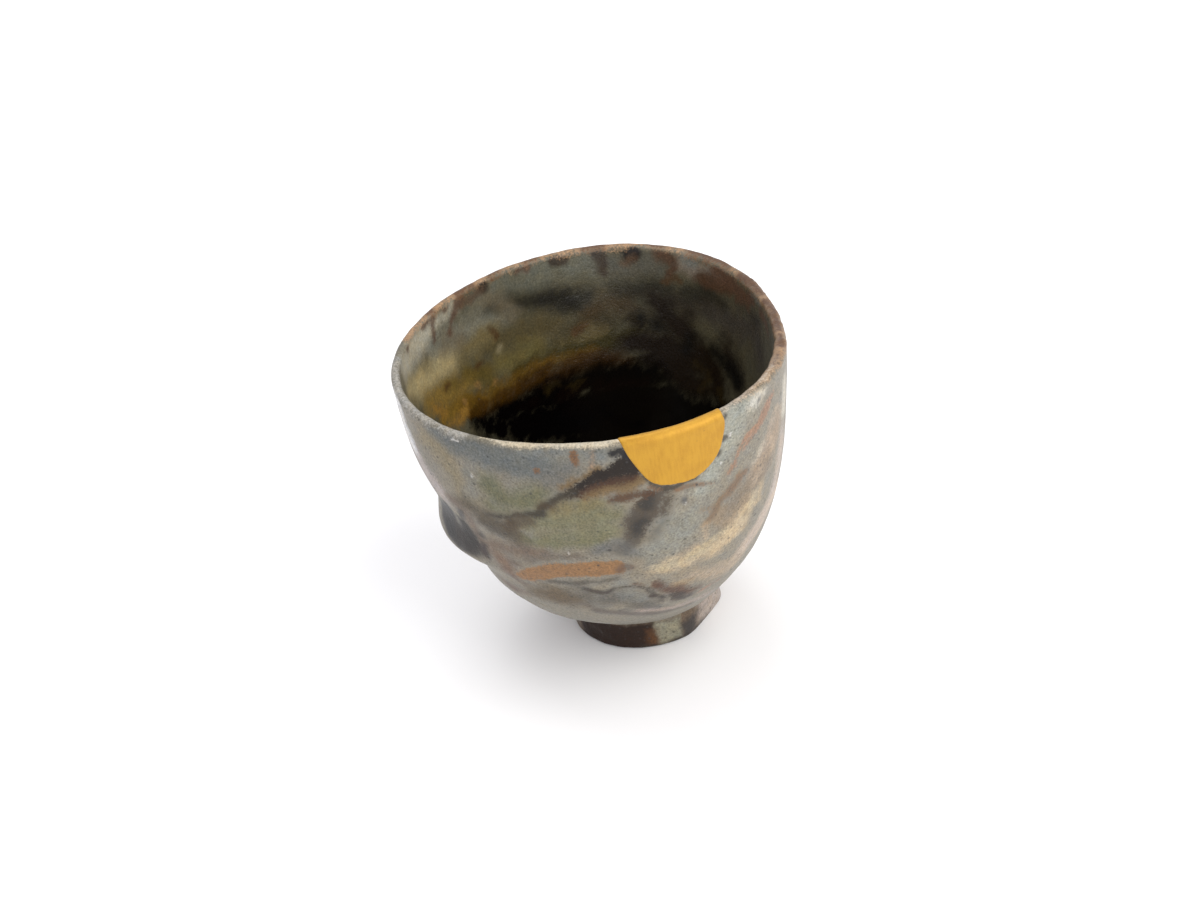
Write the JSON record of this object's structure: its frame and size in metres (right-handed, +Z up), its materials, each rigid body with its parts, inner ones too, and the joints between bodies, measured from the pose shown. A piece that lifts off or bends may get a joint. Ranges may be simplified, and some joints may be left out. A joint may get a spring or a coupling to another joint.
{
  "type": "kintsugi teacup",
  "caption": "Small hand-formed stoneware teacup on a turned foot ring, its broken rim filled with gold lacquer.",
  "frame": {"origin": "middle of the box's base, on the table under the cup", "axes": "+Z up through the cup's mouth; -Y is the front, where the gold repair is; +X is the right side seen from the front"},
  "size_m": [0.0776, 0.0824, 0.069],
  "materials": {
    "ash_glazed_stoneware": "wood-fired natural ash glaze, grey-green and brown outside, dark and glossy inside",
    "gold_lacquer": "satin gold powder on lacquer, finely brushed"
  },
  "bodies": {
    "root": {"cup_body": "ash_glazed_stoneware", "gold_lacquer_fill": "gold_lacquer"}
  },
  "joints": []
}
